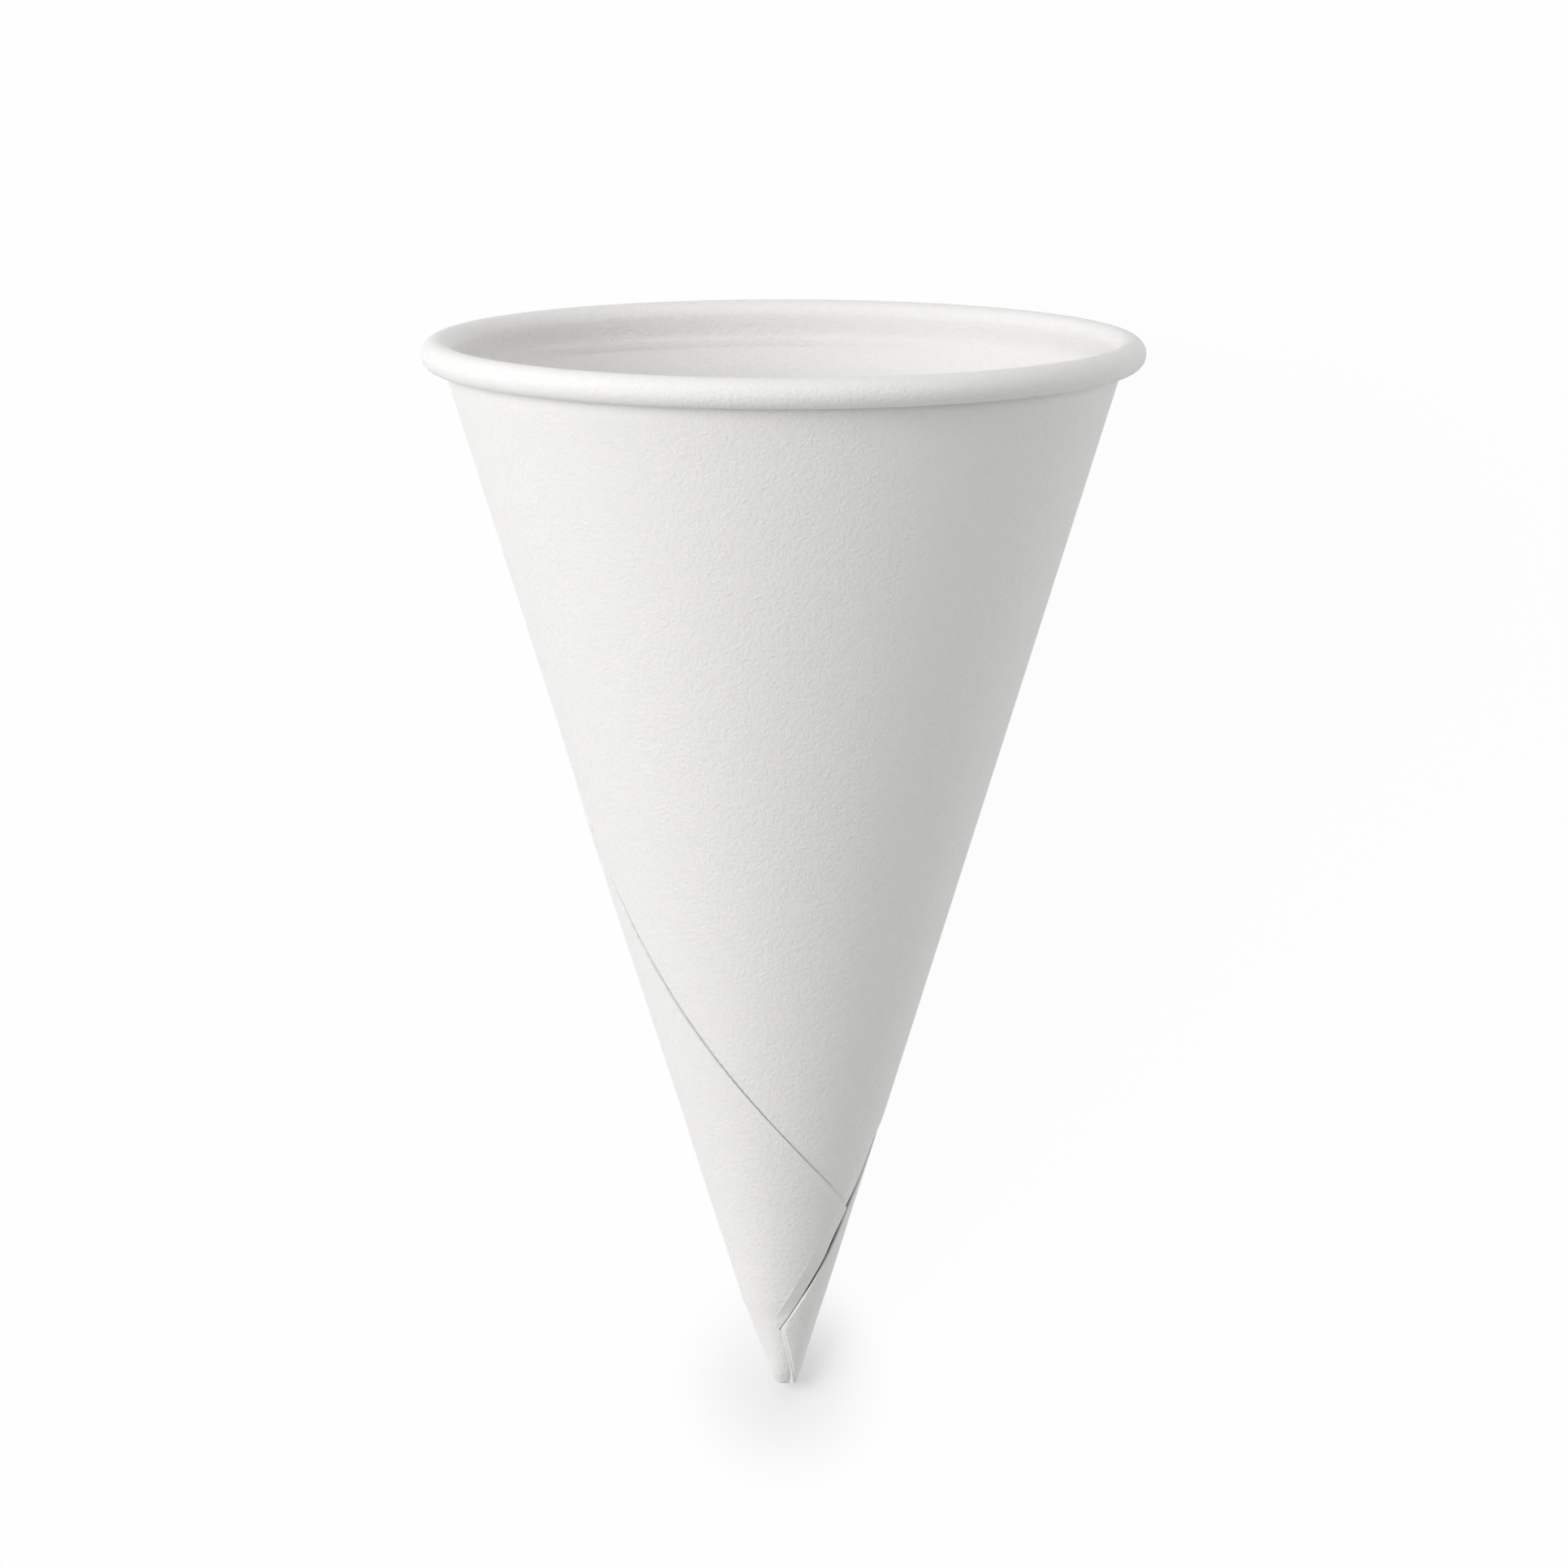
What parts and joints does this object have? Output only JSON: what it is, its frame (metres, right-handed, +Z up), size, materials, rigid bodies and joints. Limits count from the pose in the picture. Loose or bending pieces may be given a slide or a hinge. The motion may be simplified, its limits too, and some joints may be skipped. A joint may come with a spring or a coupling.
{
  "type": "cone paper cup",
  "caption": "Cone-shaped disposable paper cup with a rolled rim, wound from one sheet, with a slanting lapped seam and a folded point, for a cold drink.",
  "frame": {"origin": "on the surface the cup lies on, under the middle of its length and width", "axes": "+Z up; +Y along the cup's length from the point towards the mouth, which faces +Y and a little upward; +X across the mouth, to the right when looking along +Y; the side with the seam's lower corner and the folded tab faces up"},
  "size_m": [0.07, 0.1094, 0.0666],
  "materials": {
    "paper": "matte"
  },
  "bodies": {
    "root": {"cup": "paper"}
  },
  "joints": []
}
